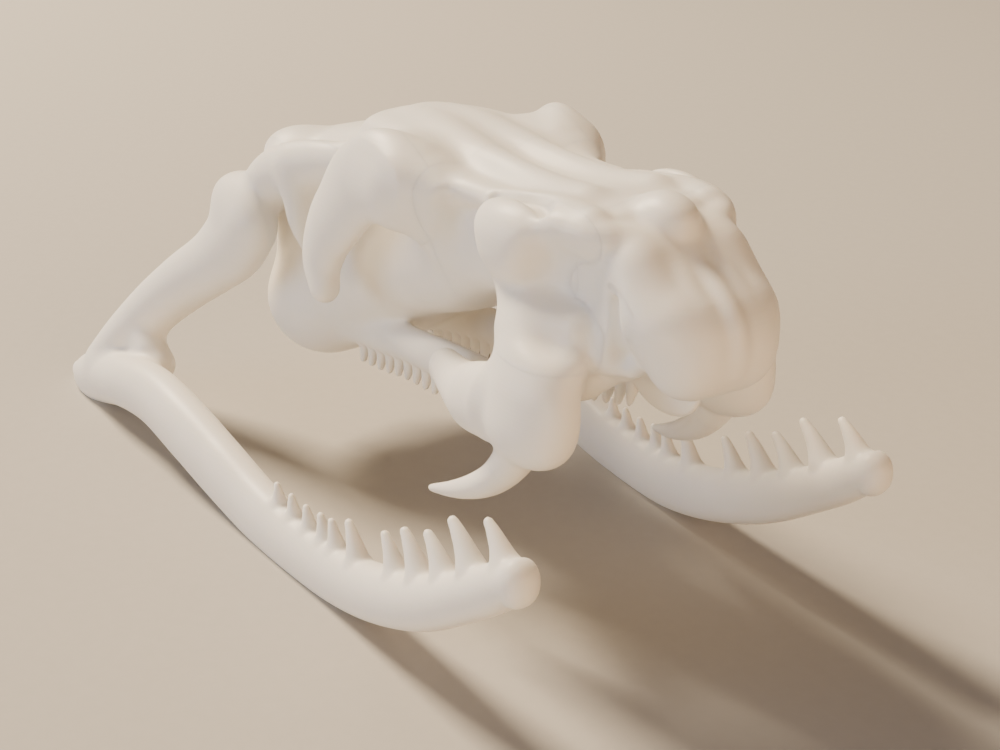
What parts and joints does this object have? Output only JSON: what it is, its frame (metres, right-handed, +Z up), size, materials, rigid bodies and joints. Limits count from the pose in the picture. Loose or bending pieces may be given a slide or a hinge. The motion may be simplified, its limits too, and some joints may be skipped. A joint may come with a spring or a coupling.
{
  "type": "3-d printed cobra skull model",
  "caption": "Life-size one-piece printed model of a cobra skull, mouth open, lower jaws spread and resting on the floor, with its fangs and teeth.",
  "frame": {"origin": "centre of the bounding box at the floor the model rests on", "axes": "+X towards the snout, +Y to the animal's left, +Z up"},
  "size_m": [0.08, 0.043, 0.0364],
  "materials": {
    "printed_plastic": "satin white printed plastic"
  },
  "bodies": {
    "root": {"braincase": "printed_plastic", "frontal": "printed_plastic", "snout": "printed_plastic", "vomer": "printed_plastic", "postorbital_right": "printed_plastic", "postorbital_left": "printed_plastic", "prefrontal_right": "printed_plastic", "prefrontal_left": "printed_plastic", "maxilla_right": "printed_plastic", "maxilla_left": "printed_plastic", "fang_right": "printed_plastic", "fang_left": "printed_plastic", "ectopterygoid_right": "printed_plastic", "ectopterygoid_left": "printed_plastic", "pterygoid_right": "printed_plastic", "pterygoid_left": "printed_plastic", "supratemporal_right": "printed_plastic", "supratemporal_left": "printed_plastic", "quadrate_right": "printed_plastic", "quadrate_left": "printed_plastic", "mandible_right": "printed_plastic", "mandible_left": "printed_plastic"}
  },
  "joints": []
}
